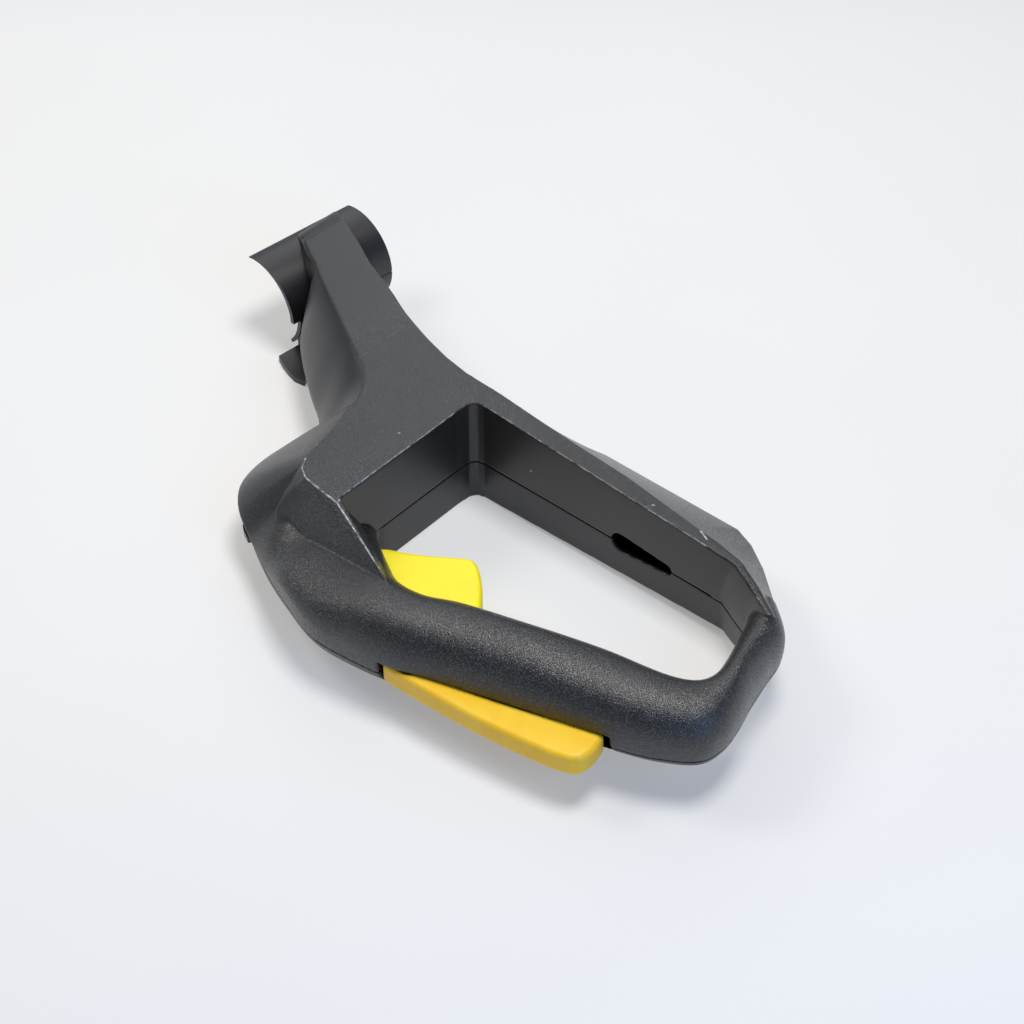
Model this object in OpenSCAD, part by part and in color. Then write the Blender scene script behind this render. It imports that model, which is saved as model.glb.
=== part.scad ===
/* [Finger opening] */
// From the saddle's axis to the front wall of the finger opening
reach = 146; // [130:1:160]
// From the saddle's axis to the opening's wall along the far bar
drop = 47; // [44:1:52]

/* [Deck and cover] */
// Height of the flat deck above the split plane
deck_h = 33; // [31:0.5:36]
// Fall of the deck towards each end, in mm per mm
deck_fall = 0.065; // [0.05:0.005:0.08]
// Depth of the cover shell below the split plane
cover_h = 20; // [18:0.5:24]
// Rise of the cover's underside towards the rear, in mm per mm
cover_fall = 0.036; // [0.02:0.004:0.06]
// Width of the far bar at its widest line
bar_w = 33.5; // [30:0.5:38]

/* [Grip] */
// Outside diameter of the round grip
grip_d = 35.8; // [34:0.2:38]
// Height of the grip's centre above the split plane
grip_rise = 8.5; // [7.5:0.1:9]
// Angle of the grip to the far bar
grip_angle = 17.5; // [17:0.1:18]

/* [Saddle] */
// Bore of the saddle that clasps the trimmer's housing
saddle_d = 45; // [43:0.5:46]
// Wall of the saddle beside the arm
saddle_wall = 2.2; // [2:0.1:3]
// Wall of the saddle at its upper lip
saddle_lip = 0.4; // [0.3:0.1:1]
// Length of the saddle along its axis
saddle_len = 60; // [54:1:66]
// Skew of the saddle's axis to the far bar's normal
saddle_skew = 6; // [4:0.5:8]
// How far the cover's half of the saddle stops short of the main shell's, at the near end
saddle_step = 4; // [0:0.5:6]

/* [Shell] */
// Wall of the moulded shells
wall = 2.6; // [2.2:0.1:3]
// Thickness of the ribs inside the shells
rib_t = 1.6; // [1.2:0.1:2]
// Diameter of the shell screws' thread
screw_d = 4; // [3.5:0.1:4.5]
// Diameter of the shell screws' head
screw_head_d = 7.6; // [7:0.2:8.4]

/* [Controls] */
// Thickness of the throttle trigger
trigger_t = 14; // [13:0.5:14.5]
// Thickness of the lock-out lever
lockout_t = 11; // [10:0.5:12]
// Height of the lock-out lever's top face above the split plane
lockout_top = 6.6; // [6:0.1:7]
// Diameter of the two pivot pins
pin_d = 4; // [3.5:0.1:4.5]
// Running clearance of a control on its pin, on the radius
pin_gap = 0.08; // [0.05:0.01:0.1]
// Gap between a control and its window in the shells
window_gap = 0.5; // [0.3:0.1:0.8]

/* [Hidden] */
// Steps up each side of an outer and an inner section, and along the loop from station to station
skin_n = 6;
core_n = 4;
skin_steps = 3;
core_steps = 2;
shell_colour = [0.24, 0.24, 0.26];
yellow = [0.98, 0.87, 0.18];
amber = [0.98, 0.79, 0.30];
steel = [0.70, 0.70, 0.72];

function mix(a, b, t) = a + (b - a) * t;
function toward(a, b, d) = let (w = norm(b - a)) w < 0.001 ? a : mix(a, b, min(d / w, 0.5));
function flip(v) = [for (i = [len(v) - 1:-1:0]) v[i]];
function deck_z(x) = deck_h - deck_fall * (max(0, x - reach - 6) + max(0, reach - 54 - x));
function cover_z(x) = cover_h - cover_fall * max(0, x - reach);
function clamp(v) = max(0, min(1, v));
function unit(a) = [cos(a), sin(a)];
saddle_r = saddle_d / 2;
grip_r = grip_d / 2;
grip_top = grip_rise + grip_r;
grip_low = grip_r - grip_rise;

// The plan is drawn for these sizes, and at() carries each of its points along with the sizes in use:
// with the reach past the saddle, with the drop, with the far bar's width and with the grip's girth
plan_reach = 146;
plan_drop = 47;
plan_bar = 33.5;
plan_grip = 35.8;
plan_inner = -147.9;
function beyond(p) = (p[0] - plan_reach) * sin(grip_angle) - (p[1] - plan_inner) * cos(grip_angle);
function at(p) = let (
    past_saddle = clamp((p[0] - 40) / 60),
    below_saddle = max(clamp((-p[1] - 10) / 30), clamp((p[0] - 100) / 50)),
    on_bar = clamp((p[1] + plan_drop) / plan_bar) * clamp((p[0] - 100) / 50),
    on_grip = clamp(beyond(p) / plan_grip))
    [p[0] + (reach - plan_reach) * past_saddle + (grip_d - plan_grip) * on_grip * sin(grip_angle),
     p[1] - (drop - plan_drop) * below_saddle + (bar_w - plan_bar) * on_bar
     - (grip_d - plan_grip) * on_grip * cos(grip_angle)];
function lay(s) = concat([for (k = [0:3]) at(s[k])], [for (k = [4:9]) s[k]]);
function plan(points) = [for (p = points) at(p)];

// A station of a shell loft lists: near point, far point, near deck edge, far deck edge, top height,
// bottom depth, height of the widest line, near and far exponent of the side curves, and how far the
// underside draws in, as a share of the deck's own draw
function tube(a, b, top, low) = let (m = (a + b) / 2) [a, b, m, m, top, low, grip_rise, 2, 2, 1];
function grip_inner(x) = [x, tan(grip_angle) * (x - plan_reach) + plan_inner];
function grip_outer(x) = grip_inner(x) - plan_grip * unit(grip_angle + 90);
function grip_st(x) = tube(grip_inner(x), grip_outer(x), grip_top, grip_low);
function inset(s, d) = [
    toward(s[0], s[1], d), toward(s[1], s[0], d), toward(s[2], s[3], d / 2), toward(s[3], s[2], d / 2),
    s[4] - d, s[5] - d, s[6], s[7], s[8], s[9]];

// One side of a section, from the split plane or the widest line up or down to the deck edge
function bump(c, p) = pow(max(c, 0), 2 / p);
function side(n, nd, e, z, p, from, steps) = [
    for (k = [0:steps]) let (t = mix(from, 90, k / steps), u = 1 - bump(cos(t), p), v = bump(sin(t), p))
        [mix(n[0], nd[0], u), mix(n[1], nd[1], u), mix(e, z, v)]];
function depth(s, lift) = min(s[5], cover_z(s[0][0]) - lift);
function split_t(s, p, lift) = asin(pow(s[6] / (s[6] + depth(s, lift)), p / 2));
// The underside is fuller than the top by this factor on its exponents
under = 1.15;
function foot(n, nd, s, p, base, lift) =
    let (q = mix(n, mix(n, nd, s[9]), 1 - bump(cos(split_t(s, p, lift)), p))) [q[0], q[1], base];
function upper_ring(s, steps, base, drop) =
    let (za = min(s[4], deck_z(s[2][0]) - drop), zb = min(s[4], deck_z(s[3][0]) - drop))
    concat([foot(s[0], s[2], s, s[7] * under, base, drop)], side(s[0], s[2], s[6], za, s[7], 0, steps),
           flip(side(s[1], s[3], s[6], zb, s[8], 0, steps)), [foot(s[1], s[3], s, s[8] * under, base, drop)]);
function lower_ring(s, steps, base, lift) =
    let (pn = s[7] * under, pf = s[8] * under)
    concat(base > 0 ? [foot(s[1], s[3], s, pf, base, lift)] : [],
           side(s[1], mix(s[1], s[3], s[9]), s[6], -depth(s, lift), pf, split_t(s, pf, lift), steps),
           flip(side(s[0], mix(s[0], s[2], s[9]), s[6], -depth(s, lift), pn, split_t(s, pn, lift), steps)),
           base > 0 ? [foot(s[0], s[2], s, pn, base, lift)] : []);

// Catmull-Rom blend of whole stations, so that the loft runs smoothly through each one
function cr(a, b, c, d, t) =
    0.5 * (2 * b + (c - a) * t + (2 * a - 5 * b + 4 * c - d) * t * t + (3 * b - a - 3 * c + d) * t * t * t);
function blend(s, n) = [
    for (i = [0:len(s) - 2]) for (k = [0:n - 1])
        [for (j = [0:len(s[i]) - 1])
            cr(s[max(i - 1, 0)][j], s[i][j], s[i + 1][j], s[min(i + 2, len(s) - 1)][j], k / n)],
    s[len(s) - 1]];

// Skins a list of rings with the same number of points, closed at both ends
module skin(rings) {
    n = len(rings[0]);
    m = len(rings);
    polyhedron(
        points = [for (r = rings) for (p = r) p],
        faces = concat(
            [for (i = [0:m - 2]) for (j = [0:n - 1]) let (a = i * n + j, b = i * n + (j + 1) % n)
                each [[a, b, b + n], [a, b + n, a + n]]],
            [[for (j = [n - 1:-1:0]) j]],
            [[for (j = [0:n - 1]) (m - 1) * n + j]]),
        convexity = 6);
}

// The round loop: rear end of the far bar, rear corner, grip, front corner and front block
loop_plan = concat(
    [tube([296, -49], [306, -45], grip_top - 8.5, 12),
     tube([301, -60], [317.6, -56], grip_top - 5.9, 11),
     tube([305, -73], [320.8, -70], grip_top - 5.4, 10.5),
     tube([308, -83], [323.8, -84], grip_top - 4.4, 10.3),
     tube([309.3, -91], [327.6, -98], grip_top - 2.9, grip_low + 0.8),
     tube([307.5, -96.5], [329.2, -110], grip_top - 1.4, grip_low + 0.6),
     tube([303.3, -100], [326.4, -121], grip_top - 0.4, grip_low + 0.4),
     tube([297, -102.8], [314, -130.3], grip_top, grip_low + 0.2),
     tube([288, -105], [300.2, -136.6], grip_top, grip_low)],
    [for (x = [270, 242, 214]) grip_st(x)],
    [tube([199, -133.5], [208, -166.6], grip_top, grip_low + 2),
     tube([185, -134], [188, -169.9], 25.6, 13.5),
     tube([171, -127], [168, -170.8], 22, 15.5),
     [[158.5, -119.5], [146, -163.8], [152, -141], [152, -141], 18.7, cover_h - 3, 8.5, 2, 2, 0.8],
     [[150, -112], [128, -155.8], [139.5, -133], [139.5, -133], 17.5, cover_h - 2, 1.5, 1.6, 1.8, 0.7],
     [[145.9, -107.5], [110, -147], [140, -114], [129, -126], deck_h - 6, cover_h - 1, 1, 1.2, 1.1, 0.6],
     [[146, -104], [96.5, -140], [145.4, -104], [121.5, -124], deck_h, cover_h - 0.5, 4, 3, 1.05, 0.5],
     [[146, -100], [87.6, -131], [146, -100], [118.5, -119], deck_h, cover_h, 5, 3, 1.1, 0.5],
     [[146, -94], [83.4, -120], [146, -94], [117, -111], deck_h, cover_h, 5, 3, 1.1, 0.5],
     [[146, -84], [82.6, -106], [146, -84], [115, -100], deck_h, cover_h, 5, 3, 1.1, 0.5],
     [[146, -70], [86, -89], [146, -70], [110, -84], deck_h, cover_h, 5, 3, 1.1, 0.5],
     [[146, -55], [100, -70], [146, -55], [110, -66], deck_h, cover_h, 5, 3, 1.1, 0.5]]);
loop = [for (s = loop_plan) lay(s)];

// Arm and far bar as one strip: near point, far point, near deck edge, far deck edge, widest line
function strip(a, b, ad, bd, p, e, top = deck_h) = [a, b, ad, bd, top, cover_h, e, p, 1, 0.5];
function near_crease(x) = [x, -5 - 0.594 * x];
bar_near = -plan_drop;
bar_far = plan_bar - plan_drop;
arm_bar_plan = [
    strip([-3, -4.2], [-3, 23], near_crease(-3), [-3, 21.9], 2, 4, saddle_r + 1.2),
    strip([1, -7.2], [1, 21.5], near_crease(1), [1, 20], 2, 4, saddle_r + 3.2),
    strip([6, -10.6], [6, 19.6], near_crease(6), [7, 17.2], 2, 4, saddle_r + 4.6),
    strip([14, -16], [16, 15.5], near_crease(14), [17, 12], 2, 4),
    strip([24, -21.5], [26, 12.5], near_crease(24.5), [27, 6.6], 1.6, 4),
    strip([28.3, -32.4], [30, 11.5], near_crease(30), [32, 3.8], 1.4, 4),
    strip([40, -46.5], [46, 6], near_crease(42), [43.6, -2.9], 1.3, 4),
    strip([62, -63.5], [70, -3], near_crease(64), [65.5, -12.6], 1.3, 4),
    strip([80, -75.5], [86, -8], near_crease(82), [82, -21], 1.3, 4),
    strip([94, -90], [104, -13], [100, -64.4], [100, -28], 1.3, 4),
    strip([104, -100], [120, -15.5], [112, -84], [118, -33.2], 1.3, 4),
    strip([120, -80], [136, -17], [121, -80], [132, -35.6], 1.3, 4),
    strip([146, -58], [150, -17.5], [146, -58], [146, -36.2], 1.3, 5),
    strip([146.6, -50.6], [153, -17.5], [146.6, -50.6], [150, -36.4], 1.3, 6),
    strip([148.6, -47.8], [155, -17.5], [148.6, -47.8], [152, -36.5], 1.3, 6),
    strip([152, bar_near], [157, -17.5], [152, bar_near], [154, -36.6], 1.3, 6),
    strip([176, bar_near], [178, -16.6], [176, bar_near], [176, -37.5], 1.3, 6),
    strip([192, bar_near], [192, bar_far], [192, bar_near], [192, -38], 1.3, 6),
    strip([222, bar_near], [222, bar_far], [222, bar_near], [222, -38.2], 1.3, 6),
    strip([266, bar_near], [263, bar_far], [270, bar_near], [258, -41.3], 1.3, 6),
    strip([280, -47.5], [273, -17.5], [285, -47], [272, -42], 1.3, 6),
    strip([289, -51.8], [285, -25.6], [293, -50.5], [286, -44], 1.3, 6),
    strip([297.5, -55.7], [297.3, -36.2], [303, -55.5], [299.5, -50.5], 1.3, 6),
    strip([303, -58.5], [311.5, -47.8], [311, -60], [312, -58], 1.3, 6)];
arm_bar = [for (s = arm_bar_plan) lay(s)];
// The strip is hollow only past the saddle
hollow_corner = lay(strip([136, -50], [150, -17.5], [136, -50], [146, -36.2], 1.3, 5));
arm_bar_hollow = concat([for (i = [6:11]) arm_bar[i]], [hollow_corner],
                        [for (i = [15:len(arm_bar) - 2]) arm_bar[i]]);

// The smooth raked panel falls from the deck's end to the front of the grip
panel_h = 8;
panel_low = [[118.4, -134.6, 21], [117.4, -138.6, 15.7], [119.2, -140.9, 13.2], [188.5, -145, 25.2]];
block_end = [[146.3, -128], [148, -131.2], [127, -128.6], [121.4, -125], [118.6, -120]];
block_back = [[116, -105], [110, -80], [146, -60]];
// The cheek under the panel's inner edge, from the front wall round to the grip
cheek = [[147.5, -131, 32.6], [186, -144.2, 25.4], [145.6, -125.5, 21], [145.6, -119.5, 13],
         [145.6, -113.5, 4.5], [157, -121, 9.2], [171, -129, 10.4]];
// A hair-thin post under a corner, for hulls
module post(q, foot) translate([at(q)[0], at(q)[1], foot]) cylinder(r = 0.01, h = q[2] - foot, $fn = 4);
module deck_block() {
    linear_extrude(deck_h) polygon(plan(concat(block_end, block_back)));
    hull() {
        linear_extrude(deck_h) polygon(plan(block_end));
        for (q = panel_low) post(q, q[2] - panel_h);
    }
    hull() for (q = cheek) post(q, 0);
}
module upper_body() {
    skin([for (s = blend(loop, skin_steps)) upper_ring(s, skin_n, 0, 0)]);
    deck_block();
    skin([for (s = arm_bar) upper_ring(s, skin_n, 0, 0)]);
}
module lower_body() {
    skin([for (s = blend(loop, skin_steps)) lower_ring(s, skin_n, 0, 0)]);
    skin([for (s = arm_bar) lower_ring(s, skin_n, 0, 0)]);
}
// What stands inside the shells: screw bosses, pivot posts and ribs
ribs = [[86, -118, -8], [108, -62, -14], [180, -46, -12], [208, -46, -12], [280, -50, -15]];
rib_top = 14;
rib_low = -8;
tall = 80;
module stand(p, z, d) translate([at(p)[0], at(p)[1], z]) cylinder(d = d, h = tall, $fn = 32);
module rib_walls(z) for (r = ribs)
    translate([at([r[0], r[1]])[0], at([r[0], r[1]])[1], z]) cube([rib_t, r[2] - r[1], tall]);
module upper_core() difference() {
    union() {
        skin([for (s = blend(loop, core_steps)) upper_ring(inset(s, wall), core_n, -1, wall)]);
        skin([for (s = arm_bar_hollow) upper_ring(inset(s, wall), core_n, -1, wall)]);
    }
    for (s = screws) stand(s, -2, boss_d);
    stand(trigger_pivot, trigger_t / 2 + post_gap, post_d);
    stand(lockout_pivot, lockout_top + post_gap, post_d);
    rib_walls(rib_top);
}
module lower_core() difference() {
    union() {
        skin([for (s = blend(loop, core_steps)) lower_ring(inset(s, wall), core_n, 1, wall)]);
        skin([for (s = arm_bar_hollow) lower_ring(inset(s, wall), core_n, 1, wall)]);
    }
    for (s = screws) stand(s, -tall / 2, well_d + 2 * well_wall);
    stand(trigger_pivot, -trigger_t / 2 - post_gap - tall, post_d);
    stand(lockout_pivot, lockout_top - lockout_t - post_gap - tall, post_d);
    rib_walls(rib_low - tall);
}
// The moulded skins, brought to the exact height of the deck and depth of the cover
module upper_moulding() resize([0, 0, deck_h]) difference() { upper_body(); upper_core(); }
module lower_moulding() resize([0, 0, cover_h]) difference() { lower_body(); lower_core(); }

// Saddle, about its own axis along Y with +X towards the arm. Its outside is an offset circle, so that
// the wall thins from the arm to the upper lip
lip_angle = 105.5;
cover_lip_angle = -45;
saddle_a = saddle_r + saddle_wall;
saddle_b = saddle_r + saddle_lip;
saddle_off = (saddle_a * saddle_a - saddle_b * saddle_b) / (2 * (saddle_a - saddle_b * cos(lip_angle)));
module on_saddle() rotate([0, 0, -saddle_skew]) children();
module saddle_half(from, to, near) {
    len = saddle_len / 2 - near;
    on_saddle() translate([0, saddle_len / 2, 0]) rotate([90, 0, 0]) intersection() {
        translate([saddle_off, 0, 0]) cylinder(r = saddle_a - saddle_off, h = len, $fn = 96);
        linear_extrude(len) polygon([[0, 0], for (a = [from, (from + to) / 2, to]) 3 * saddle_r * unit(a)]);
    }
}
module saddle_bore()
    on_saddle() rotate([90, 0, 0]) cylinder(r = saddle_r, h = saddle_len + 20, center = true, $fn = 96);
// Flat ear at the foot of the cover's half
ear = [[16.7, -39.2], [17.7, -27.5], [30, -26], [38.9, -44.6]];
ear_t = 3;

// Shell screws, by their place in plan
screws = [[62, -34], [124, -96], [116, -48], [196, -34], [262, -33], [315.5, -90], [300, -122]];
screw_len = 16;
screw_seat = 4;
screw_head_h = 2.6;
boss_d = screw_d + 4.4;
well_d = screw_head_d + 0.8;
well_wall = 1.5;

// Controls: pivots, outlines and windows in plan
trigger_pivot = [157, -141];
lockout_pivot = [212, -156];
pin_len = 20;
lockout_pin_low = -6;
post_d = pin_d + 4;
post_gap = 0.3;
hub_d = pin_d + 4;
pocket_r = 8.4;
pocket_z = 2;
edge_r = 2.6;
trigger_outline = [[158.6, -119.1], [166, -115], [176.9, -108.7], [187, -101.5], [192, -99], [197, -101],
                   [203, -106], [210, -113.5], [217.3, -125.5], [214, -133], [200, -138.5], [180, -144.5],
                   [158, -147], [151.5, -143.5], [152.5, -133]];
lockout_outline = [[203.6, -161], [207, -153], [214, -151], [229.4, -155.5], [260.9, -147], [289, -136.5],
                   [294, -141], [294.5, -150], [290.5, -155.5], [275, -159.6], [250, -163.4], [225, -165.4],
                   [208, -166.2], [203.2, -165.6]];
trigger_sweep = [[150, -150], [150.4, -136], [157.5, -118], [160, -100], [220.5, -100], [220.5, -126],
                 [221.5, -138], [216, -147], [200, -151], [160, -152]];
lockout_sweep = [[202.2, -200], [202.2, -160], [205.5, -150], [214, -147.5], [262, -132], [289, -120],
                 [295.3, -134], [297, -200]];
module slab(points, z0, z1) translate([0, 0, z0]) linear_extrude(z1 - z0) polygon(points);
// A control's body: a smooth outline with all its edges rounded
function closed_curve(p, n) = let (m = len(p)) [for (i = [0:m - 1]) for (k = [0:n - 1])
    cr(p[(i + m - 1) % m], p[i], p[(i + 1) % m], p[(i + 2) % m], k / n)];
module pebble(outline, z0, z1) translate([0, 0, z0 + edge_r]) minkowski() {
    linear_extrude(z1 - z0 - 2 * edge_r) offset(delta = -edge_r) polygon(closed_curve(plan(outline), 2));
    sphere(r = edge_r, $fn = 16);
}
module at_trigger() translate(concat(at(trigger_pivot), 0)) children();
module at_lockout() translate(concat(at(lockout_pivot), 0)) children();
module window_cuts() {
    slab(plan(trigger_sweep), -trigger_t / 2 - window_gap, trigger_t / 2 + window_gap);
    slab(plan(lockout_sweep), lockout_top - lockout_t - window_gap, lockout_top + window_gap);
}
// Slot through the far bar's near wall, round at the front and narrowing to the rear
slot_ends = [[227.5, 4.8], [251.5, 2.7]];
module bar_slot() hull() for (e = slot_ends) translate([at([e[0], bar_near])[0], -drop + wall + 2, 0])
    rotate([90, 0, 0]) cylinder(r = e[1], h = wall + 6, $fn = 32);

module pin_bore(z0, z1) translate([0, 0, z0]) cylinder(d = pin_d, h = z1 - z0, $fn = 32);
module main_shell() color(shell_colour) difference() {
    union() {
        upper_moulding();
        saddle_half(0, lip_angle, -saddle_len / 2);
    }
    saddle_bore();
    window_cuts();
    bar_slot();
    for (s = screws) translate(concat(at(s), -1))
        cylinder(d = screw_d, h = screw_len - screw_seat + 2, $fn = 32);
    at_trigger() pin_bore(-1, pin_len / 2);
    at_lockout() pin_bore(-1, pin_len / 2);
}
module cover_shell() color(shell_colour) difference() {
    union() {
        lower_moulding();
        saddle_half(cover_lip_angle, 0, saddle_step - saddle_len / 2);
        slab(ear, -cover_h, ear_t - cover_h);
    }
    saddle_bore();
    window_cuts();
    bar_slot();
    for (s = screws) translate(concat(at(s), -tall / 2)) cylinder(d = screw_d + 0.6, h = tall, $fn = 32);
    for (s = screws) translate(concat(at(s), -tall / 2))
        cylinder(d = well_d, h = tall / 2 - screw_seat, $fn = 32);
    at_trigger() pin_bore(-pin_len / 2, 1);
    at_lockout() pin_bore(lockout_pin_low, 1);
}
module lever_bore() translate([0, 0, -tall / 2]) cylinder(d = pin_d + 2 * pin_gap, h = tall, $fn = 32);
module spring_pocket() translate([0, 0, pocket_z]) difference() {
    cylinder(r = pocket_r, h = tall, $fn = 48);
    translate([0, 0, -1]) cylinder(d = hub_d, h = tall + 2, $fn = 48);
}
module throttle_trigger() color(yellow) difference() {
    pebble(trigger_outline, -trigger_t / 2, trigger_t / 2);
    at_trigger() lever_bore();
    at_trigger() spring_pocket();
}
module lockout_lever() color(amber) difference() {
    pebble(lockout_outline, lockout_top - lockout_t, lockout_top);
    at_lockout() lever_bore();
    at_lockout() spring_pocket();
}
module trigger_pin() color(steel) at_trigger() pin_bore(-pin_len / 2, pin_len / 2);
module lockout_pin() color(steel) at_lockout() pin_bore(lockout_pin_low, pin_len / 2);

// A wire of round section along a list of points
function unit3(v) = v / max(norm(v), 0.0001);
module wire(path, d) {
    n = len(path);
    skin([for (i = [0:n - 1])
        let (t = unit3(path[min(i + 1, n - 1)] - path[max(i - 1, 0)]),
             a = unit3(cross(t, [0, 0.05, 1])), b = cross(t, a))
        [for (k = [0:7]) path[i] + d / 2 * (cos(45 * k) * a + sin(45 * k) * b)]]);
}
// Torsion spring: turns of wire round the hub, with a leg at each end that bears on the pocket's wall
spring_d = 1.1;
spring_gap = 0.5;
coil_r = hub_d / 2 + spring_gap + spring_d / 2;
coil_pitch = spring_d + 0.15;
coil_turns = 2.5;
leg_r = pocket_r - spring_d / 2 - 0.15;
function coil(from) = [for (k = [0:12 * coil_turns])
    [coil_r * cos(from + 30 * k), coil_r * sin(from + 30 * k), coil_pitch * k / 12]];
function leg(a, z) = [leg_r * cos(a), leg_r * sin(a), z];
module torsion_spring() translate([0, 0, pocket_z + spring_d / 2 + 0.15])
    wire(concat([leg(38, 0)], coil(90), [leg(-38, coil_pitch * coil_turns)]), spring_d);
module trigger_spring() color(steel) at_trigger() torsion_spring();
module lockout_spring() color(steel) at_lockout() torsion_spring();
module shell_screws() color(steel) for (s = screws) translate(concat(at(s), -screw_seat)) difference() {
    union() {
        cylinder(d = screw_d - 0.1, h = screw_len, $fn = 32);
        translate([0, 0, -screw_head_h]) cylinder(d = screw_head_d, h = screw_head_h, $fn = 48);
    }
    translate([0, 0, -screw_head_h - 1]) cylinder(d = 4, h = 2.8, $fn = 6);
}

main_shell();
cover_shell();
throttle_trigger();
lockout_lever();
trigger_pin();
lockout_pin();
trigger_spring();
lockout_spring();
shell_screws();
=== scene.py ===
import math

import bmesh
import bpy
import numpy as np
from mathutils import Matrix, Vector


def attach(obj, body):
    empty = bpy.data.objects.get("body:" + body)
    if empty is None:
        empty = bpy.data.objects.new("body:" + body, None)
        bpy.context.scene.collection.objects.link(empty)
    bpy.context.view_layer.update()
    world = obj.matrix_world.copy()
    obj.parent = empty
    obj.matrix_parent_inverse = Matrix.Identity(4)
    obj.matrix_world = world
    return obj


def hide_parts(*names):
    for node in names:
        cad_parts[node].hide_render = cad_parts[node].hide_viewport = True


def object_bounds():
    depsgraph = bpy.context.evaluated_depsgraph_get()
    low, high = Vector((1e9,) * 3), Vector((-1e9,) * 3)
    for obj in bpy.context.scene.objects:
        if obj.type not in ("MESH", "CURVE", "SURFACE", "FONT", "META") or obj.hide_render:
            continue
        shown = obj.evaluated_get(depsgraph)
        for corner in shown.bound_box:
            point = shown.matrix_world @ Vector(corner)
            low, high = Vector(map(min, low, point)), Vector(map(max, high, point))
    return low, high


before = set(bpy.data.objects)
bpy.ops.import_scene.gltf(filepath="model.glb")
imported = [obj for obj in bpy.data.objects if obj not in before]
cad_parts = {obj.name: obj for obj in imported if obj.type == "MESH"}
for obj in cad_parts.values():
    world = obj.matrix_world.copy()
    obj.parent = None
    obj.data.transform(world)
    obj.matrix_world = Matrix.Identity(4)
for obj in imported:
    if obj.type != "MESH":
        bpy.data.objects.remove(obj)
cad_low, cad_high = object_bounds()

MM = 0.001
DECK_H = 33.0
DECK_FALL = 0.065
COVER_H = 20.0
COVER_FALL = 0.036
GRIP_D = 35.8
GRIP_RISE = 8.5
GRIP_SLOPE = math.radians(17.5)
GRIP_TOP = GRIP_RISE + GRIP_D / 2
GRIP_LOW = GRIP_D / 2 - GRIP_RISE
WALL = 2.6
UNDER = 1.15
BAR_NEAR = -47
BAR_FAR = -13.5


# A station of the housing lists its near and far point, near and far deck edge, top height, bottom
# depth, height of the widest line, near and far exponent of the side curves, and the underside's draw.
def station(near, far, near_edge, far_edge, *sizes):
    return np.array([*near, *far, *near_edge, *far_edge, *sizes], float)


def tube(near, far, top, low):
    middle = [(n + f) / 2 for n, f in zip(near, far)]
    return station(near, far, middle, middle, top, low, GRIP_RISE, 2, 2, 1)


def grip(x):
    y = math.tan(GRIP_SLOPE) * (x - 146) - 147.9
    outer = (x + GRIP_D * math.sin(GRIP_SLOPE), y - GRIP_D * math.cos(GRIP_SLOPE))
    return tube((x, y), outer, GRIP_TOP, GRIP_LOW)


def strip(near, far, near_edge, far_edge, near_curve, widest, top=DECK_H):
    return station(near, far, near_edge, far_edge, top, COVER_H, widest, near_curve, 1, 0.5)


def crease(x):
    return (x, -5 - 0.594 * x)


LOOP = [
    tube((296, -49), (306, -45), GRIP_TOP - 8.5, 12),
    tube((301, -60), (317.6, -56), GRIP_TOP - 5.9, 11),
    tube((305, -73), (320.8, -70), GRIP_TOP - 5.4, 10.5),
    tube((308, -83), (323.8, -84), GRIP_TOP - 4.4, 10.3),
    tube((309.3, -91), (327.6, -98), GRIP_TOP - 2.9, GRIP_LOW + 0.8),
    tube((307.5, -96.5), (329.2, -110), GRIP_TOP - 1.4, GRIP_LOW + 0.6),
    tube((303.3, -100), (326.4, -121), GRIP_TOP - 0.4, GRIP_LOW + 0.4),
    tube((297, -102.8), (314, -130.3), GRIP_TOP, GRIP_LOW + 0.2),
    tube((288, -105), (300.2, -136.6), GRIP_TOP, GRIP_LOW),
    grip(270), grip(242), grip(214),
    tube((199, -133.5), (208, -166.6), GRIP_TOP, GRIP_LOW + 2),
    tube((185, -134), (188, -169.9), 25.6, 13.5),
    tube((171, -127), (168, -170.8), 22, 15.5),
    station((158.5, -119.5), (146, -163.8), (152, -141), (152, -141), 18.7, 17, 8.5, 2, 2, 0.8),
    station((150, -112), (128, -155.8), (139.5, -133), (139.5, -133), 17.5, 18, 1.5, 1.6, 1.8, 0.7),
    station((145.9, -107.5), (110, -147), (140, -114), (129, -126), 27, 19, 1, 1.2, 1.1, 0.6),
    station((146, -104), (96.5, -140), (145.4, -104), (121.5, -124), DECK_H, 19.5, 4, 3, 1.05, 0.5),
    station((146, -100), (87.6, -131), (146, -100), (118.5, -119), DECK_H, COVER_H, 5, 3, 1.1, 0.5),
    station((146, -94), (83.4, -120), (146, -94), (117, -111), DECK_H, COVER_H, 5, 3, 1.1, 0.5),
    station((146, -84), (82.6, -106), (146, -84), (115, -100), DECK_H, COVER_H, 5, 3, 1.1, 0.5),
    station((146, -70), (86, -89), (146, -70), (110, -84), DECK_H, COVER_H, 5, 3, 1.1, 0.5),
    station((146, -55), (100, -70), (146, -55), (110, -66), DECK_H, COVER_H, 5, 3, 1.1, 0.5),
]
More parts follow.
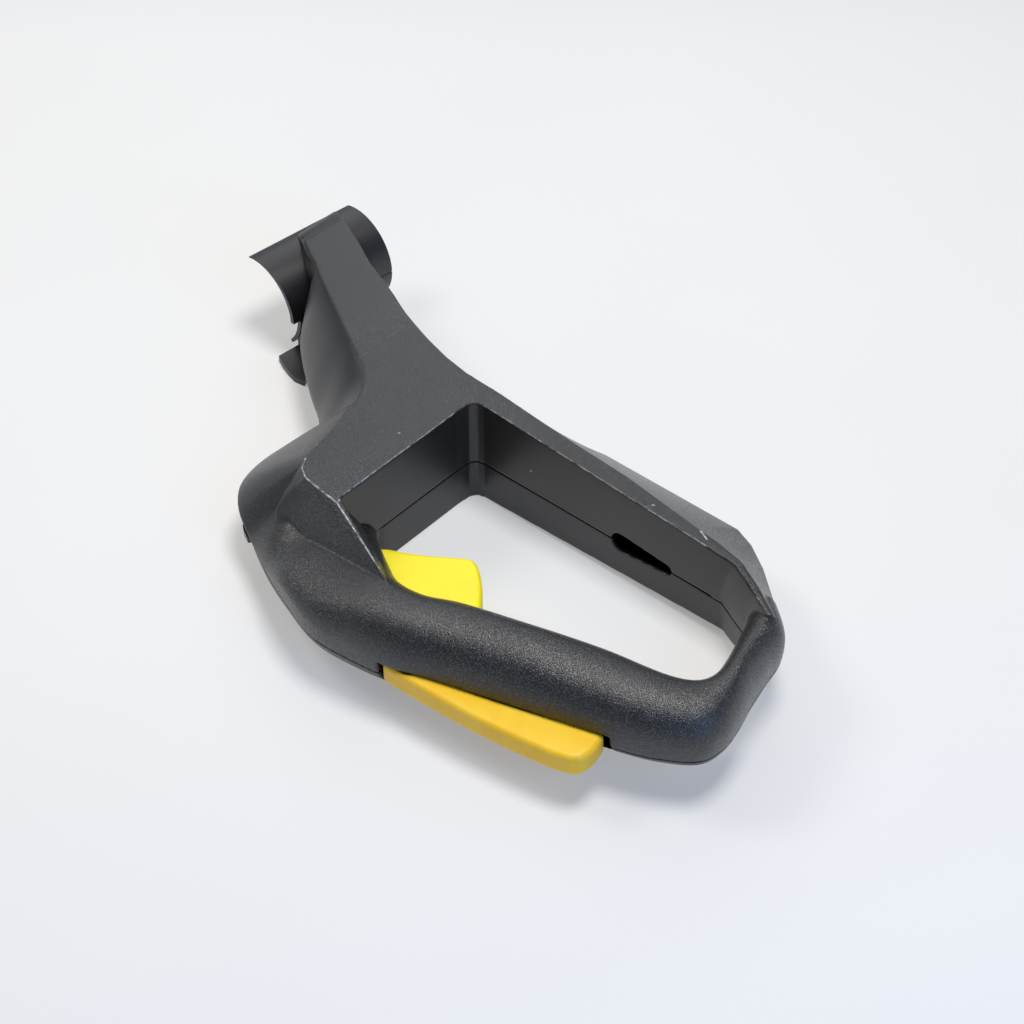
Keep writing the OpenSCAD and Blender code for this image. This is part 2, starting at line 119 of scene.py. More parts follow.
ARM_AND_BAR = [
    strip((-3, -4.2), (-3, 23), crease(-3), (-3, 21.9), 2, 4, 23.7),
    strip((1, -7.2), (1, 21.5), crease(1), (1, 20), 2, 4, 25.7),
    strip((6, -10.6), (6, 19.6), crease(6), (7, 17.2), 2, 4, 27.1),
    strip((14, -16), (16, 15.5), crease(14), (17, 12), 2, 4),
    strip((24, -21.5), (26, 12.5), crease(24.5), (27, 6.6), 1.6, 4),
    strip((28.3, -32.4), (30, 11.5), crease(30), (32, 3.8), 1.4, 4),
    strip((40, -46.5), (46, 6), crease(42), (43.6, -2.9), 1.3, 4),
    strip((62, -63.5), (70, -3), crease(64), (65.5, -12.6), 1.3, 4),
    strip((80, -75.5), (86, -8), crease(82), (82, -21), 1.3, 4),
    strip((94, -90), (104, -13), (100, -64.4), (100, -28), 1.3, 4),
    strip((104, -100), (120, -15.5), (112, -84), (118, -33.2), 1.3, 4),
    strip((120, -80), (136, -17), (121, -80), (132, -35.6), 1.3, 4),
    strip((146, -58), (150, -17.5), (146, -58), (146, -36.2), 1.3, 5),
    strip((146.6, -50.6), (153, -17.5), (146.6, -50.6), (150, -36.4), 1.3, 6),
    strip((148.6, -47.8), (155, -17.5), (148.6, -47.8), (152, -36.5), 1.3, 6),
    strip((152, BAR_NEAR), (157, -17.5), (152, BAR_NEAR), (154, -36.6), 1.3, 6),
    strip((176, BAR_NEAR), (178, -16.6), (176, BAR_NEAR), (176, -37.5), 1.3, 6),
    strip((192, BAR_NEAR), (192, BAR_FAR), (192, BAR_NEAR), (192, -38), 1.3, 6),
    strip((222, BAR_NEAR), (222, BAR_FAR), (222, BAR_NEAR), (222, -38.2), 1.3, 6),
    strip((266, BAR_NEAR), (263, BAR_FAR), (270, BAR_NEAR), (258, -41.3), 1.3, 6),
    strip((280, -47.5), (273, -17.5), (285, -47), (272, -42), 1.3, 6),
    strip((289, -51.8), (285, -25.6), (293, -50.5), (286, -44), 1.3, 6),
    strip((297.5, -55.7), (297.3, -36.2), (303, -55.5), (299.5, -50.5), 1.3, 6),
    strip((303, -58.5), (311.5, -47.8), (311, -60), (312, -58), 1.3, 6),
]
# The strip is hollow only past the saddle
HOLLOW_CORNER = strip((136, -50), (150, -17.5), (136, -50), (146, -36.2), 1.3, 5)
HOLLOW_BAR = ARM_AND_BAR[6:12] + [HOLLOW_CORNER] + ARM_AND_BAR[15:-1]
BLOCK_END = [(146.3, -128), (148, -131.2), (127, -128.6), (121.4, -125), (118.6, -120)]
BLOCK_BACK = [(116, -105), (110, -80), (146, -60)]
PANEL_LOW = [(118.4, -134.6, 21), (117.6, -138.0, 16.2), (119.7, -140.2, 13.4), (188.5, -145, 25.2)]
CHEEK = [(147.5, -131, 32.6), (186, -144.2, 25.4), (145.6, -125.5, 21), (145.6, -119.5, 13),
         (145.6, -113.5, 4.5), (157, -121, 9.2), (171, -129, 10.4)]
SCREWS = [(62, -34), (124, -96), (116, -48), (196, -34), (262, -33), (315.5, -90), (300, -122)]
TRIGGER_PIVOT = (157, -141)
LEVER_PIVOT = (212, -156)
TRIGGER_SWEEP = [(150, -150), (150.4, -136), (157.5, -118), (160, -100), (220.5, -100), (220.5, -126),
                 (221.5, -138), (216, -147), (200, -151), (160, -152)]
LEVER_SWEEP = [(202.2, -200), (202.2, -160), (205.5, -150), (214, -147.5), (262, -132), (289, -120),
               (295.3, -134), (297, -200)]
RIBS = [(86, -118, -8), (108, -62, -14), (180, -46, -12), (208, -46, -12), (280, -50, -15)]
RIB = 1.6
BOSS_D = 8.4
WELL_D = 8.4
POST_D = 8.0
FAR = 80.0
SADDLE_R = 22.5
SADDLE_SKEW = math.radians(6)
VOXEL = 0.55


def thinner(s, d):
    """A station moved in by the wall on all its sides."""
    def toward(a, b, step):
        width = np.linalg.norm(b - a)
        return a if width < 0.001 else a + (b - a) * min(step / width, 0.5)
    near, far, near_edge, far_edge = s[0:2], s[2:4], s[4:6], s[6:8]
    return np.concatenate([toward(near, far, d), toward(far, near, d), toward(near_edge, far_edge, d / 2),
                           toward(far_edge, near_edge, d / 2), s[8:10] - d, s[10:]])


def run_through(stations, steps, smooth=True):
    """Stations closer together, on a smooth or a straight run through the given ones."""
    out = []
    for i in range(len(stations) - 1):
        a, b = stations[max(i - 1, 0)], stations[i]
        c, d = stations[i + 1], stations[min(i + 2, len(stations) - 1)]
        for t in np.arange(steps) / steps:
            bend = (2 * a - 5 * b + 4 * c - d) * t ** 2 + (3 * b - a - 3 * c + d) * t ** 3
            out.append((2 * b + (c - a) * t + bend) / 2 if smooth else b + (c - b) * t)
    return out + [stations[-1]]


def flank(start, end, low, high, power, first, last, steps):
    """One side of a section, from its widest line at start to the deck edge or foot at end."""
    turn = np.linspace(first, last, steps + 1)
    u = 1 - np.maximum(np.cos(turn), 0) ** (2 / power)
    v = np.maximum(np.sin(turn), 0) ** (2 / power)
    return np.column_stack([start[0] + (end[0] - start[0]) * u, start[1] + (end[1] - start[1]) * u,
                            low + (high - low) * v])


def section(s, lower, steps, lift=0.0):
    """The outline of one half of a station. A core's outline, with a lift, runs past the split plane."""
    top, low, widest, near_power, far_power, draw = s[8:14]
    deep = min(low, COVER_H - COVER_FALL * max(0, s[0] - 146) - lift)
    sides = []
    for start, edge, power in ((s[0:2], s[4:6], near_power), (s[2:4], s[6:8], far_power)):
        under = power * UNDER
        split = math.asin((widest / (widest + deep)) ** (under / 2))
        foot = start + (edge - start) * draw
        if lower:
            line = flank(start, foot, widest, -deep, under, split, math.pi / 2, steps)
        else:
            fall = DECK_FALL * (max(0, edge[0] - 152) + max(0, 92 - edge[0]))
            high = min(top, DECK_H - fall - lift)
            line = np.vstack([flank(start, foot, widest, -deep, under, split, 0, 4),
                              flank(start, edge, widest, high, power, 0, math.pi / 2, steps)[1:]])
        if lift:
            line = np.vstack([[*line[0, :2], 1 if lower else -1], line])
        sides.append(line)
    return np.vstack([sides[0], sides[1][::-1]])


def as_object(name, bm):
    """Closes a mesh under construction and shows it, its faces outward."""
    bmesh.ops.triangulate(bm, faces=[face for face in bm.faces if len(face.verts) > 4])
    bm.normal_update()
    if bm.calc_volume(signed=True) < 0:
        bmesh.ops.reverse_faces(bm, faces=bm.faces)
    made = bpy.data.meshes.new(name)
    bm.to_mesh(made)
    bm.free()
    shown = bpy.data.objects.new(name, made)
    bpy.context.scene.collection.objects.link(shown)
    return shown


def loft(name, rings):
    """A closed skin over rings with the same number of points."""
    bm = bmesh.new()
    rows = [[bm.verts.new(Vector(point) * MM) for point in ring] for ring in rings]
    count = len(rows[0])
    for row, after in zip(rows, rows[1:]):
        for j in range(count):
            k = (j + 1) % count
            bm.faces.new((row[j], row[k], after[k], after[j]))
    bm.faces.new(reversed(rows[0]))
    bm.faces.new(rows[-1])
    return as_object(name, bm)


def prism(outline, low, high, name="prism"):
    return loft(name, [[(*p[:2], z) for p in outline] for z in (low, high)])


def disc(centre, low, high, r, steps=48):
    turns = [2 * math.pi * k / steps for k in range(steps)]
    return prism([(centre[0] + r * math.cos(t), centre[1] + r * math.sin(t)) for t in turns], low, high)


def wrapped(points):
    """The smallest convex solid round some points."""
    bm = bmesh.new()
    for point in points:
        bm.verts.new(Vector(point) * MM)
    bmesh.ops.convex_hull(bm, input=bm.verts)
    bmesh.ops.delete(bm, geom=[v for v in bm.verts if not v.link_faces], context="VERTS")
    bmesh.ops.recalc_face_normals(bm, faces=bm.faces)
    return as_object("wrapped", bm)


def settle(shown):
    """Keeps the mesh that an object's modifiers make."""
    bpy.context.view_layer.update()
    made = bpy.data.meshes.new_from_object(shown.evaluated_get(bpy.context.evaluated_depsgraph_get()))
    old = shown.data
    shown.modifiers.clear()
    shown.data = made
    bpy.data.meshes.remove(old)
    return shown


def combine(base, how, *tools):
    """Joins the tools to the base or cuts them from it, and clears them away."""
    for tool in tools:
        step = base.modifiers.new("step", "BOOLEAN")
        step.operation = how
        step.solver = "MANIFOLD"
        step.object = tool
    settle(base)
    for tool in tools:
        mesh = tool.data
        bpy.data.objects.remove(tool)
        bpy.data.meshes.remove(mesh)
    return base


def points_of(shown):
    """The points of a mesh and the directions they face, in mm."""
    at = np.empty(len(shown.data.vertices) * 3, np.float32)
    out = np.empty_like(at)
    shown.data.vertices.foreach_get("co", at)
    shown.data.vertices.foreach_get("normal", out)
    return at.reshape(-1, 3) / MM, out.reshape(-1, 3)


def share(value, low, high):
    """How far a value lies between two limits, eased, from 0 to 1."""
    t = np.clip((value - low) / (high - low), 0, 1)
    return t * t * (3 - 2 * t)


def soften(shown, voxel, passes, most, rounder=None):
    """Rounds all edges a little, as the polish of a moulding tool does, and thins out the flat areas."""
    skin = shown.modifiers.new("skin", "REMESH")
    skin.mode = "VOXEL"
    skin.voxel_size = voxel * MM
    ease = shown.modifiers.new("ease", "SMOOTH")
    ease.factor = 0.5
    ease.iterations = passes
    settle(shown)
    if rounder:
        group = shown.vertex_groups.new(name="rounder")
        weight = rounder(points_of(shown)[0])
        for i in np.nonzero(weight > 0.01)[0]:
            group.add([int(i)], float(weight[i]), "REPLACE")
        more = shown.modifiers.new("more", "SMOOTH")
        more.factor = 0.5
        more.iterations = 16
        more.vertex_group = "rounder"
        settle(shown)
    triangles = sum(len(face.vertices) - 2 for face in shown.data.polygons)
    if triangles > most:
        thin = shown.modifiers.new("thin", "DECIMATE")
        thin.ratio = most / triangles
        settle(shown)
    return shown


def along_arm(at):
    """Where the deck turns into the arm's side with a larger round."""
    return share(112 - at[:, 0], 0, 20) * share(at[:, 2], 12, 20)


def half_shell(name, lower):
    """One moulded half of the housing: the outer loft less its hollow core and the controls' windows."""
    shown = loft(name, [section(s, lower, 18) for s in run_through(LOOP, 7)])
    strips = run_through(ARM_AND_BAR[:11], 6) + run_through(ARM_AND_BAR[10:], 3, False)[1:]
    parts = [loft("bar", [section(s, lower, 18) for s in strips])]
    if not lower:
        parts.append(prism(BLOCK_END + BLOCK_BACK, 0, DECK_H))
        parts.append(wrapped([(*p, z) for p in BLOCK_END for z in (0, DECK_H)]
                             + [(x, y, z - d) for x, y, z in PANEL_LOW for d in (0, 8)]))
        parts.append(wrapped([(x, y, h) for x, y, z in CHEEK for h in (0, z)]))
    combine(shown, "UNION", *parts)
    core = loft("core", [section(thinner(s, WALL), lower, 8, WALL) for s in run_through(LOOP, 4)])
    combine(core, "UNION", loft("bar", [section(thinner(s, WALL), lower, 8, WALL) for s in HOLLOW_BAR]))
    posts = [disc(p, -FAR if lower else -2, FAR, (WELL_D + 3 if lower else BOSS_D) / 2) for p in SCREWS]
    if lower:
        posts += [disc(TRIGGER_PIVOT, -FAR, -7.3, POST_D / 2), disc(LEVER_PIVOT, -FAR, -4.7, POST_D / 2)]
    else:
        posts += [disc(TRIGGER_PIVOT, 7.3, FAR, POST_D / 2), disc(LEVER_PIVOT, 6.9, FAR, POST_D / 2)]
    for x, y0, y1 in RIBS:
        outline = [(x, y0), (x + RIB, y0), (x + RIB, y1), (x, y1)]
        posts.append(prism(outline, -FAR, -8) if lower else prism(outline, 14, FAR))
    combine(core, "DIFFERENCE", *posts)
    combine(shown, "DIFFERENCE", core, prism(TRIGGER_SWEEP, -7.5, 7.5), prism(LEVER_SWEEP, -4.9, 7.1), bar_slot())
    return soften(shown, VOXEL, 2, 150000 if lower else 185000, None if lower else along_arm)


def bar_slot():
    """The slot through the bar's near wall, round at the front and narrower at the rear."""
    ends = [(227.5, 4.8, -90), (251.5, 2.7, 90)]
    rim = [(x + r * math.sin(math.radians(a + turn)) * (1 if x > 240 else 1), r * math.cos(math.radians(a + turn)))
           for x, r, turn in ends for a in range(-90, 91, 10)]
    return loft("slot", [[(x, y, z) for x, z in rim] for y in (-53, -42.4)])


def on_saddle(x, y, z):
    c, s = math.cos(SADDLE_SKEW), math.sin(SADDLE_SKEW)
    return (x * c + y * s, y * c - x * s, z)


def saddle_half(first, last, near):
    """Part of a tube about the saddle's axis. Its outside is an offset circle, so the wall thins to the lip."""
    thick, lip, lip_turn = SADDLE_R + 2.2, SADDLE_R + 0.4, math.radians(105.5)
    shift = (thick ** 2 - lip ** 2) / (2 * (thick - lip * math.cos(lip_turn)))
    outer = thick - shift
    rim = []
    for k in range(61):
        turn = math.radians(first + (last - first) * k / 60)
        reach_out = shift * math.cos(turn) + math.sqrt(outer ** 2 - (shift * math.sin(turn)) ** 2)
        rim.append((reach_out * math.cos(turn), reach_out * math.sin(turn)))
    for k in range(61):
        turn = math.radians(last + (first - last) * k / 60)
        rim.append(((SADDLE_R - 0.3) * math.cos(turn), (SADDLE_R - 0.3) * math.sin(turn)))
    return loft("saddle", [[on_saddle(x, y, z) for x, z in rim] for y in (near, 30)])


def saddle_bore():
    turns = [2 * math.pi * k / 144 for k in range(144)]
    return loft("bore", [[on_saddle(SADDLE_R * math.cos(t), y, SADDLE_R * math.sin(t)) for t in turns] for y in (-40, 40)])


main_body = half_shell("main_shell_body", False)
combine(main_body, "UNION", saddle_half(0, 105.5, -30))
holes = [saddle_bore(), disc(TRIGGER_PIVOT, -1, 10, 2), disc(LEVER_PIVOT, -1, 10, 2)]
combine(main_body, "DIFFERENCE", *holes, *[disc(p, -1, 13, 2) for p in SCREWS])


def surface(name):
    """A new material, its Principled shader and a helper that adds a wired node to it."""
    made = bpy.data.materials.new(name)
    made.use_nodes = True
    tree = made.node_tree
    shader = tree.nodes["Principled BSDF"]
    place = tree.nodes.new("ShaderNodeTexCoord").outputs["Object"]

    def add(kind, wires=None, **settings):
        node = tree.nodes.new(kind)
        for key, value in settings.items():
            setattr(node, key, value)
        for key, value in (wires or {}).items():
            if isinstance(value, bpy.types.NodeSocket):
                tree.links.new(value, node.inputs[key])
            else:
                node.inputs[key].default_value = value
        return node

    def join(source, target):
        tree.links.new(source, target)

    return made, shader, place, add, join


def ramp(add, source, stops):
    """A colour ramp on one value, from (place, grey or colour) stops."""
    node = add("ShaderNodeValToRGB", {"Fac": source})
    steps = node.color_ramp.elements
    while len(steps) < len(stops):
        steps.new(0.5)
    for step, (at, colour) in zip(steps, stops):
        step.position = at
        step.color = (*colour, 1) if isinstance(colour, tuple) else (colour, colour, colour, 1)
    return node.outputs["Color"]


def mark_finish(shown, panel):
    """Stores at each point how grained the tool left the plastic, which also sets how strong the painted sparkle is,
    and where the polished panel is.
    """
    at, out = points_of(shown)
    x, y, z = at.T
    loop = np.maximum(share(-y, 100, 112), share(x, 296, 304) * share(-y, 50, 60)) * (0.3 + 0.7 * share(x, 95, 150))
    deck = share(out[:, 2], 0.7, 0.9) * share(z, 16, 20) * share(x, 55, 112) * (1 - 0.35 * share(x, 150, 200))
    side = 0.8 * share(x, 150, 190) * share(out[:, 1], 0.05, 0.2) * share(z, 2, 5) * share(y, -60, -50)
    inner = share(out[:, 0], 0.3, 0.6) * (x < 160) * share(-y, -10, 10)
    grain = 0.10 + 0.90 * np.maximum(np.maximum(loop, deck) * (1 - inner), side)
    if panel:
        on_panel = panel_share(at, out)
        grain *= 1 - on_panel * 0.92
    else:
        on_panel = np.zeros(len(at))
    for name, value in (("grain", grain), ("panel", on_panel)):
        layer = shown.data.attributes.new(name, "FLOAT", "POINT")
        layer.data.foreach_set("value", value.astype(np.float32))


PANEL = [(118, -118), (117.4, -138.6), (119.2, -140.9), (188.5, -145), (148, -131.2), (127, -128.6), (121.4, -125)]


def panel_share(at, out):
    """1 on the flat panel between the deck's near edge and the grip, 0 elsewhere."""
    x, y, z = at.T
    inside = np.full(len(x), 9.0)
    for (ax, ay), (bx, by) in zip(PANEL, PANEL[1:] + PANEL[:1]):
        length = math.hypot(bx - ax, by - ay)
        inside = np.minimum(inside, ((bx - ax) * (y - ay) - (by - ay) * (x - ax)) / length)
    return share(inside, -0.5, 0.3) * share(z, 11, 12) * share(-out[:, 1], 0.2, 0.4)


def edge_distance(add, place, lines):
    """The distance from a point of the surface to the nearest of some edges that are partly worn and partly carry a
    painted highlight.
    """
    nearest = None
    for line in lines:
        for a, b in zip(line, line[1:]):
            a, b = Vector(a) * MM, Vector(b) * MM
            along = (b - a).normalized()
            from_a = add("ShaderNodeVectorMath", {0: place, 1: a}, operation="SUBTRACT").outputs["Vector"]
            reach = add("ShaderNodeVectorMath", {0: from_a, 1: along}, operation="DOT_PRODUCT").outputs["Value"]
            short = add("ShaderNodeMath", {0: reach, 1: (b - a).length}, operation="MINIMUM").outputs[0]
            held = add("ShaderNodeMath", {0: short, 1: 0.0}, operation="MAXIMUM").outputs[0]
            foot = add("ShaderNodeVectorMath", {0: along, "Scale": held}, operation="SCALE").outputs["Vector"]
            gap = add("ShaderNodeVectorMath", {0: from_a, 1: foot}, operation="DISTANCE").outputs["Value"]
            nearest = gap if nearest is None else add("ShaderNodeMath", {0: nearest, 1: gap}, operation="MINIMUM").outputs[0]
    return nearest


def deck_height(x):
    return DECK_H - DECK_FALL * max(0, x - 152)


# Edges drawn pale on the black: partly real wear, partly painted edge highlight where their rounds would catch the
# light.
WORN_AND_HIGHLIT_EDGES = [
    [(118.6, -120, DECK_H), (121.4, -125, DECK_H), (127, -128.6, DECK_H), (147.4, -131, DECK_H)],
    [(148, -131.2, DECK_H), (188, -145, 25.4)],
    [(147.2, -130, DECK_H), (146, -126, DECK_H), (146, -58, DECK_H)],
    [(152, -47, DECK_H), (270, -47, deck_height(270)), (303, -55.5, deck_height(303))],
    [(136.8, -83.4, DECK_H), (137.3, -83.2, DECK_H)],
    [(178.2, -47, 11.2), (178.6, -47, 11.8)],
    [(240.4, -43.6, 27.2), (240.9, -43.4, 27.2)],
    [(263.6, -41.6, 25.7), (268.3, -43.6, 25.4)],
]


def moulded_black(name, grain_mm, grain_depth, dark, light):
    """Black polyamide with the grain of a spark-eroded tool, painted sparkle on its grain peaks, and pale lines on its
    most handled edges that are partly worn plastic and partly painted edge highlight.
    """
    made, shader, place, add, join = surface(name)
    grained = add("ShaderNodeAttribute", attribute_name="grain").outputs["Fac"]
    panel = add("ShaderNodeAttribute", attribute_name="panel").outputs["Fac"]
    cloud = add("ShaderNodeTexNoise", {"Vector": place, "Scale": 26.0, "Detail": 4.0, "Roughness": 0.6})
    grain = add("ShaderNodeTexNoise", {"Vector": place, "Scale": 1000 / grain_mm, "Detail": 2.0, "Roughness": 0.55})
    plain = ramp(add, cloud.outputs["Fac"], [(0.35, dark), (0.68, light)])
    # A pale bluish-grey line along these edges, broken up by noise: partly wear, partly painted edge highlight.
    nearest = edge_distance(add, place, WORN_AND_HIGHLIT_EDGES)
    rubbed_and_lit = add("ShaderNodeMapRange", {"Value": nearest, "From Min": 0.55 * MM, "From Max": 0.15 * MM})
    patchy = add("ShaderNodeTexNoise", {"Vector": place, "Scale": 420.0, "Detail": 3.0, "Roughness": 0.7})
    broken = ramp(add, patchy.outputs["Fac"], [(0.38, 0.06), (0.60, 1.0)])
    wear_and_painted_highlight = add("ShaderNodeMath", {0: rubbed_and_lit.outputs["Result"], 1: broken}, operation="MULTIPLY").outputs[0]
    # Painted sparkle: the grain's peaks are lightened in the base colour, as far as the point is grained, standing in
    # for glints of light.
    painted_sparkle_ramp = ramp(add, grain.outputs["Fac"], [(0.50, 0.0), (0.68, 0.085)])
    painted_sparkle = add("ShaderNodeMath", {0: painted_sparkle_ramp, 1: grained}, operation="MULTIPLY").outputs[0]
    tone_with_painted_sparkle = add("ShaderNodeVectorMath", {0: plain, 1: painted_sparkle}, operation="ADD").outputs["Vector"]
    tone = add("ShaderNodeMix", {"Factor": wear_and_painted_highlight, 6: tone_with_painted_sparkle, 7: (0.52, 0.54, 0.58, 1)}, data_type="RGBA")
    join(tone.outputs[2], shader.inputs["Base Color"])
    peaks = add("ShaderNodeMapRange", {"Value": grain.outputs["Fac"], "From Min": 0.40, "From Max": 0.60,
                                       "To Min": 0.36, "To Max": 0.15}).outputs["Result"]
    satin = add("ShaderNodeMapRange", {"Value": cloud.outputs["Fac"], "To Min": 0.36, "To Max": 0.44}).outputs["Result"]
    gloss = add("ShaderNodeMix", {"Factor": grained, 2: satin, 3: peaks}, data_type="FLOAT")
    join(gloss.outputs[0], shader.inputs["Roughness"])
    shader.inputs["Specular IOR Level"].default_value = 0.65
    deep = add("ShaderNodeMath", {0: grain.outputs["Fac"], 1: grained}, operation="MULTIPLY")
    relief = add("ShaderNodeBump", {"Height": deep.outputs[0], "Distance": grain_depth * MM, "Strength": 1.0})
    join(relief.outputs["Normal"], shader.inputs["Normal"])
    return made


def place_piece(shown, body, slot, material, *nodes):
    """Finishes a piece that stands for a CAD node."""
    shown.data.materials.clear()
    shown.data.materials.append(material)
    shown.data.shade_smooth()
    shown.data.set_sharp_from_angle(angle=math.radians(40))
    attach(shown, body)
    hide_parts(*nodes)


black = moulded_black("black_polyamide", 0.5, 0.26, (0.005, 0.005, 0.006), (0.008, 0.008, 0.010))
mark_finish(main_body, True)
place_piece(main_body, "housing", "shell", black, "main_shell")

# Cover shell: the shallow lower half, moulded in the same polyamide and screwed on from below.
cover_body = half_shell("cover_shell_body", True)
ear = [(16.7, -39.2), (21.8, -41.8), (27.4, -43.9), (33.2, -45.4), (38.9, -44.6), (30, -26), (17.7, -27.5)]
lug = [(100, -141.6), (103.2, -144), (107.4, -146), (109.5, -144), (101, -139)]
foot = [(18, -27.6), (26.5, -28.4), (30, -20), (24, -10), (17, -12)]
combine(cover_body, "UNION", saddle_half(-45, 0, -26), prism(ear, -COVER_H, 3 - COVER_H), prism(foot, -17, -1),
        wrapped([(x, y, z) for x, y in lug for z in (-3.6, -0.8)]))
holes = [saddle_bore(), disc(TRIGGER_PIVOT, -10, 1, 2), disc(LEVER_PIVOT, -6, 1, 2)]
holes += [disc(p, -FAR, 1, 2.3) for p in SCREWS] + [disc(p, -FAR, -4, WELL_D / 2) for p in SCREWS]
combine(cover_body, "DIFFERENCE", *holes, prism([(-60, -300), (400, -300), (400, 100), (-60, 100)], -0.5, 5))
mark_finish(cover_body, False)
place_piece(cover_body, "housing", "shell", black, "cover_shell")


# Throttle trigger: a lemon yellow moulding that swings on a steel pin inside the opening.
def moulded_yellow(name, dark, light, rough):
    """Glossy yellow moulding with faint clouding and handling marks."""
    made, shader, place, add, join = surface(name)
    cloud = add("ShaderNodeTexNoise", {"Vector": place, "Scale": 60.0, "Detail": 5.0, "Roughness": 0.65})
    join(ramp(add, cloud.outputs["Fac"], [(0.3, dark), (0.7, light)]), shader.inputs["Base Color"])
    join(ramp(add, cloud.outputs["Fac"], [(0.3, rough), (0.7, rough + 0.1)]), shader.inputs["Roughness"])
    bump = add("ShaderNodeBump", {"Height": cloud.outputs["Fac"], "Distance": 0.1 * MM, "Strength": 0.2})
    join(bump.outputs["Normal"], shader.inputs["Normal"])
    return made


def rounded_copy(node, name):
    """The CAD node's own form, its faceted edges turned into smooth rounds."""
    shown = bpy.data.objects.new(name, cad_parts[node].data.copy())
    bpy.context.scene.collection.objects.link(shown)
    return soften(shown, 0.5, 6, 60000)


trigger = rounded_copy("throttle_trigger", "trigger_body")
lemon = moulded_yellow("lemon_yellow", (0.95, 0.77, 0.012), (0.99, 0.84, 0.02), 0.36)
place_piece(trigger, "trigger", "trigger", lemon, "throttle_trigger")

# Lock-out lever: a warmer yellow moulding on the outer side of the grip, smudged by gloved hands.
lever = rounded_copy("lockout_lever", "lever_body")
warm = moulded_yellow("warm_yellow", (0.97, 0.565, 0.022), (0.995, 0.655, 0.040), 0.38)
place_piece(lever, "lockout", "lever", warm, "lockout_lever")


# Pins, springs and screws: bright steel, turned or drawn.
def bright_steel():
    made, shader, place, add, join = surface("bright_steel")
    streak = add("ShaderNodeTexNoise", {"Vector": place, "Scale": 900.0, "Detail": 3.0})
    shader.inputs["Metallic"].default_value = 1.0
    join(ramp(add, streak.outputs["Fac"], [(0.3, 0.52), (0.7, 0.64)]), shader.inputs["Base Color"])
    join(ramp(add, streak.outputs["Fac"], [(0.3, 0.25), (0.7, 0.4)]), shader.inputs["Roughness"])
    return made


steel = bright_steel()
for name in ("trigger_pin", "lockout_pin", "trigger_spring", "lockout_spring", "shell_screws"):
    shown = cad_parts[name]
    shown.data.materials.clear()
    shown.data.materials.append(steel)
    shown.data.shade_smooth()
    shown.data.set_sharp_from_angle(angle=math.radians(32))


# Studio: a plain pale table under soft light, with the camera where the photograph was taken from.
def lamp(name, place, target, size, power, colour=(1, 1, 1)):
    """A round soft light that looks at a target point."""
    data = bpy.data.lights.new(name, "AREA")
    data.shape = "DISK"
    data.size = size
    data.energy = power
    data.color = colour
    made = bpy.data.objects.new(name, data)
    bpy.context.scene.collection.objects.link(made)
    made.location = place
    made.rotation_euler = (Vector(target) - Vector(place)).to_track_quat("-Z", "Y").to_euler()
    return made


scene = bpy.context.scene
scene.view_settings.view_transform = "Standard"
table_z = cad_low.z
middle = Vector((0.167, -0.046, 0))
back = Vector((-0.656, 0.755, 0))
right = Vector((0.755, 0.656, 0))
up = Vector((0, 0, 1))

table_mesh = bpy.data.meshes.new("table")
edge = 15.0
table_mesh.from_pydata([(-edge, -edge, 0), (edge, -edge, 0), (edge, edge, 0), (-edge, edge, 0)], [], [(0, 1, 2, 3)])
table = bpy.data.objects.new("table", table_mesh)
table.location.z = table_z
scene.collection.objects.link(table)
pale, shader, place, add, join = surface("pale_table")
haze = add("ShaderNodeTexNoise", {"Vector": place, "Scale": 3.0, "Detail": 3.0})
tint = ramp(add, haze.outputs["Fac"], [(0.3, (0.76, 0.76, 0.76)), (0.7, (0.80, 0.80, 0.80))])
join(tint, shader.inputs["Base Color"])
shader.inputs["Roughness"].default_value = 0.7
shader.inputs["Specular IOR Level"].default_value = 0.2
# Paper colour across the table: warm white in the middle, with painted bluish light towards the near and the far end.
deep = add("ShaderNodeVectorMath", {0: place, 1: back}, operation="DOT_PRODUCT").outputs["Value"]
across = add("ShaderNodeMath", {0: deep, 1: 0.35, 2: 0.5}, operation="MULTIPLY_ADD").outputs[0]
paper_and_painted_blue_light = ramp(add, across, [(0.30, (0.84, 0.88, 0.95)), (0.44, (0.91, 0.89, 0.86)), (0.585, (0.93, 0.92, 0.90)), (0.62, (0.80, 0.84, 0.92))])
glow = add("ShaderNodeEmission", {"Color": paper_and_painted_blue_light, "Strength": 1.0})
ray = add("ShaderNodeLightPath")
seen = add("ShaderNodeMath", {0: ray.outputs["Is Camera Ray"], 1: ray.outputs["Is Glossy Ray"]}, operation="MAXIMUM")
seen = add("ShaderNodeMath", {0: seen.outputs[0], 1: ray.outputs["Is Transmission Ray"]}, operation="MAXIMUM")
reach = add("ShaderNodeVectorMath", {0: place}, operation="LENGTH").outputs["Value"]
white = add("ShaderNodeMapRange", {"Value": reach, "From Min": 0.5, "From Max": 2.5, "To Min": 0.34, "To Max": 1.0})
part_white = add("ShaderNodeMath", {0: seen.outputs[0], 1: white.outputs["Result"]}, operation="MULTIPLY")
shown = add("ShaderNodeMixShader", {0: part_white.outputs[0], 1: shader.outputs["BSDF"], 2: glow.outputs["Emission"]})
join(shown.outputs["Shader"], pale.node_tree.nodes["Material Output"].inputs["Surface"])
table_mesh.materials.append(pale)

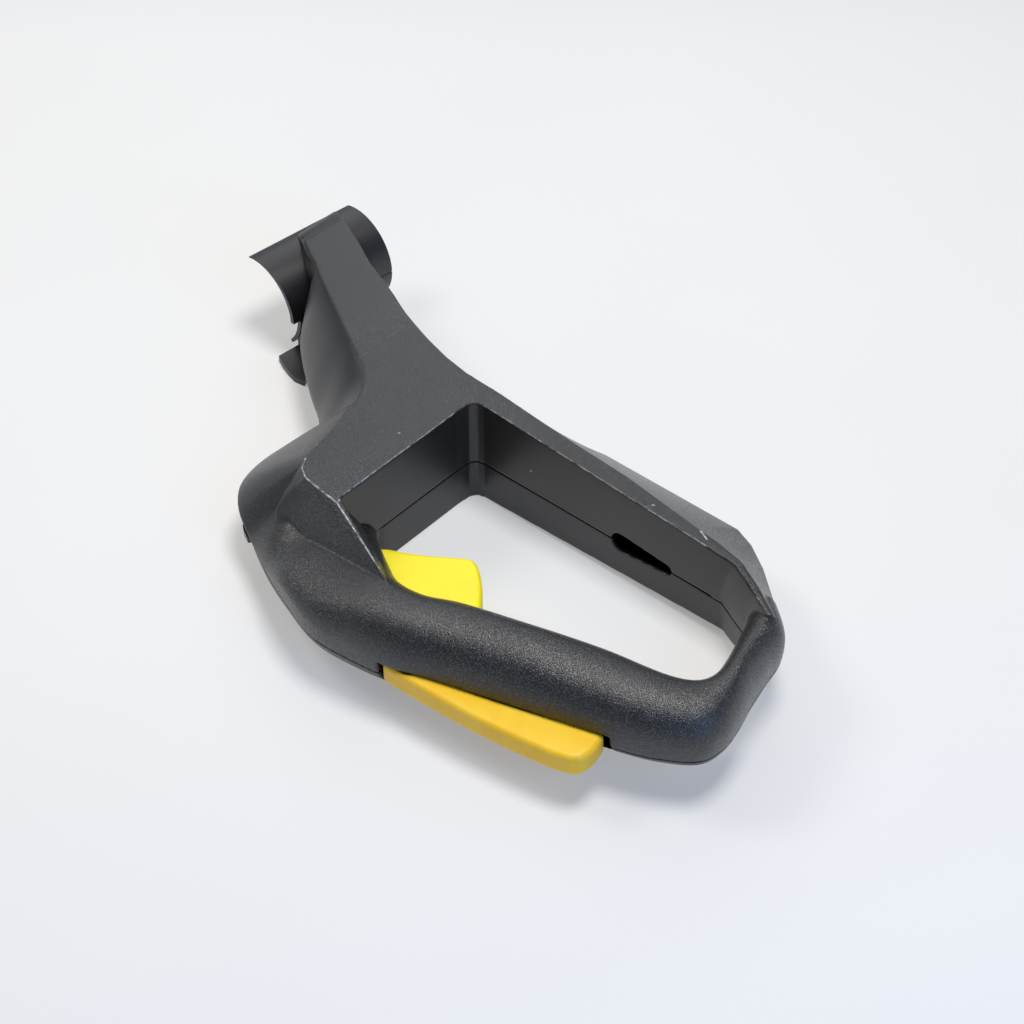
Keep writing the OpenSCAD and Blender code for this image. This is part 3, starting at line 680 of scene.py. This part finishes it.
world = bpy.data.worlds.new("studio")
world.use_nodes = True
sky = world.node_tree
sky.nodes["Background"].inputs["Color"].default_value = (0.88, 0.93, 1.0, 1)
ray = sky.nodes.new("ShaderNodeLightPath")
side_on = sky.nodes.new("ShaderNodeSeparateXYZ")
sky.links.new(sky.nodes.new("ShaderNodeTexCoord").outputs["Generated"], side_on.inputs[0])
horizon = sky.nodes.new("ShaderNodeMapRange")
for socket, value in (("From Min", 0.30), ("From Max", 0.05), ("To Min", 0.15), ("To Max", 0.75)):
    horizon.inputs[socket].default_value = value
sky.links.new(side_on.outputs["Z"], horizon.inputs["Value"])
shine = sky.nodes.new("ShaderNodeMath")
shine.operation = "MAXIMUM"
sky.links.new(ray.outputs["Is Glossy Ray"], shine.inputs[0])
sky.links.new(ray.outputs["Is Transmission Ray"], shine.inputs[1])
level = sky.nodes.new("ShaderNodeMix")
level.inputs[2].default_value = 0.15
sky.links.new(shine.outputs[0], level.inputs[0])
sky.links.new(horizon.outputs["Result"], level.inputs[3])
backdrop = sky.nodes.new("ShaderNodeMath")
backdrop.operation = "MAXIMUM"
sky.links.new(ray.outputs["Is Camera Ray"], backdrop.inputs[0])
sky.links.new(level.outputs[0], backdrop.inputs[1])
sky.links.new(backdrop.outputs[0], sky.nodes["Background"].inputs["Strength"])
scene.world = world
lamp("key", middle - back * 0.02 + right * 0.16 + up * 1.15, middle, 0.42, 9.4, (1, 0.985, 0.96))
lamp("backlight", middle + back * 1.1 + up * 0.85, middle, 1.1, 4.2, (0.96, 0.98, 1))
lamp("left", middle + back * 0.30 - right * 0.75 + up * 0.90, middle, 0.45, 3.9, (1, 0.99, 0.97))
lamp("window", middle - back * 0.85 + right * 0.60 + up * 0.62, middle, 0.8, 4.0, (0.22, 0.48, 1.0))

camera_data = bpy.data.cameras.new("camera")
camera_data.sensor_width = 36.0
camera_data.lens = 2300 / 1024 * 36.0
camera = bpy.data.objects.new("camera", camera_data)
scene.collection.objects.link(camera)
camera.location = (0.6467, -0.5980, 0.6620)
camera.rotation_euler = Vector((-0.4798, 0.5520, -0.6820)).to_track_quat("-Z", "Y").to_euler()
scene.camera = camera
